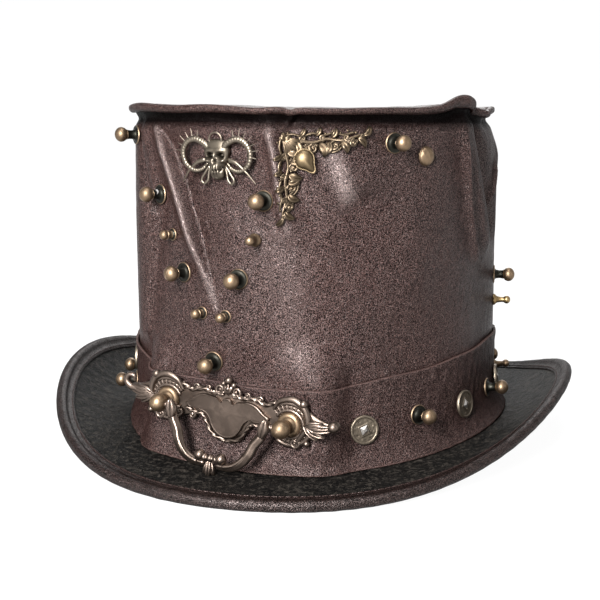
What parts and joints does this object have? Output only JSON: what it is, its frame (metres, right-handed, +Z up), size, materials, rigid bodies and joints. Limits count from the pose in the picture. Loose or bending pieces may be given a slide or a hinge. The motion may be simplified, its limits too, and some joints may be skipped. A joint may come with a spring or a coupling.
{
  "type": "decorated top hat",
  "caption": "Leather top hat with a curled plush brim, a studded band, a swinging bail pull on the front and brass trim on the crown.",
  "frame": {"origin": "centre of the hat's plan, on the surface that the brim stands on", "axes": "+Z up through the crown, -Y towards the front of the hat, +X to the wearer's left"},
  "size_m": [0.258, 0.2956, 0.1599],
  "materials": {
    "brown_leather": "pebbled, semi-gloss",
    "binding_leather": "smooth, worn edge",
    "sweatband_leather": "smooth",
    "buckram": "stiffened weave",
    "lining_cloth": "satin",
    "black_plush": "short brushed nap",
    "underside_cloth": "felt",
    "spring_steel": "bright",
    "antique_bronze": "antiqued, rubbed highlights",
    "aged_brass": "antiqued",
    "yellow_brass": "polished",
    "nickel": "satin",
    "screw_steel": "plain"
  },
  "bodies": {
    "root": {"band_ball_stud_screws": "screw_steel", "band_ball_studs": "antique_bronze", "brim_binding": "binding_leather", "brim_board": "buckram", "brim_plush": "black_plush", "brim_underside": "underside_cloth", "brim_wire": "spring_steel", "coin_brads": "nickel", "coin_buttons": "antique_bronze", "corner_boss": "aged_brass", "corner_mount": "aged_brass", "crown_ball_stud_screws": "screw_steel", "crown_ball_studs": "antique_bronze", "crown_stiffener": "buckram", "crown_wall": "brown_leather", "dome_rivet": "antique_bronze", "dome_rivet_cap": "screw_steel", "hat_band": "brown_leather", "horned_charm": "aged_brass", "lining_side": "lining_cloth", "lining_tip": "lining_cloth", "pull_backplate": "antique_bronze", "pull_nuts": "screw_steel", "pull_post_left": "antique_bronze", "pull_post_right": "antique_bronze", "small_stud_screws": "screw_steel", "small_studs": "antique_bronze", "spool_stud_screws": "screw_steel", "spool_studs": "yellow_brass", "sweatband": "sweatband_leather", "tip_leather": "brown_leather", "tip_stiffener": "buckram", "tip_welt": "brown_leather"},
    "bail": {"bail_handle": "antique_bronze"}
  },
  "joints": [
    {"name": "bail_swing", "type": "hinge", "parent": "root", "child": "bail", "pos_m": [-0.01571, -0.11234, 0.0282], "axis": [-0.9801, 0.1799, 0.0837], "range_deg": [0, 115]}
  ]
}
